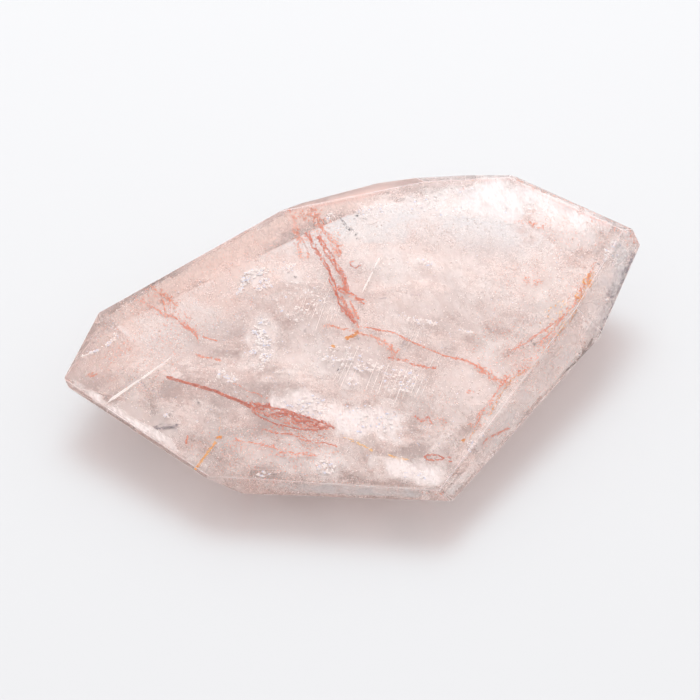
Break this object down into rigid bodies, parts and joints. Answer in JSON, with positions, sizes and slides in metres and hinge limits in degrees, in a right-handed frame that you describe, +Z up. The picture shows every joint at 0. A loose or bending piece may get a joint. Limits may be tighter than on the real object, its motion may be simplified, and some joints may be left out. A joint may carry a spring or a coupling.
{
  "type": "quartz freeform",
  "caption": "Flat freeform of pale pink, cloudy quartz with rust-red veins, ground to flat facets and polished; an ornament that lies on its base facet.",
  "frame": {"origin": "centre of the bounding box at its bottom, on the plane that the base facet rests on", "axes": "+Z up from the base facet, +X along the length of the stone from the thin tip to the thick tip, +Y towards the high back edge"},
  "size_m": [0.0928, 0.0598, 0.019],
  "materials": {
    "quartz": "polished, translucent, cloudy pale pink with rust-red veins"
  },
  "bodies": {
    "root": {"stone": "quartz"}
  },
  "joints": []
}
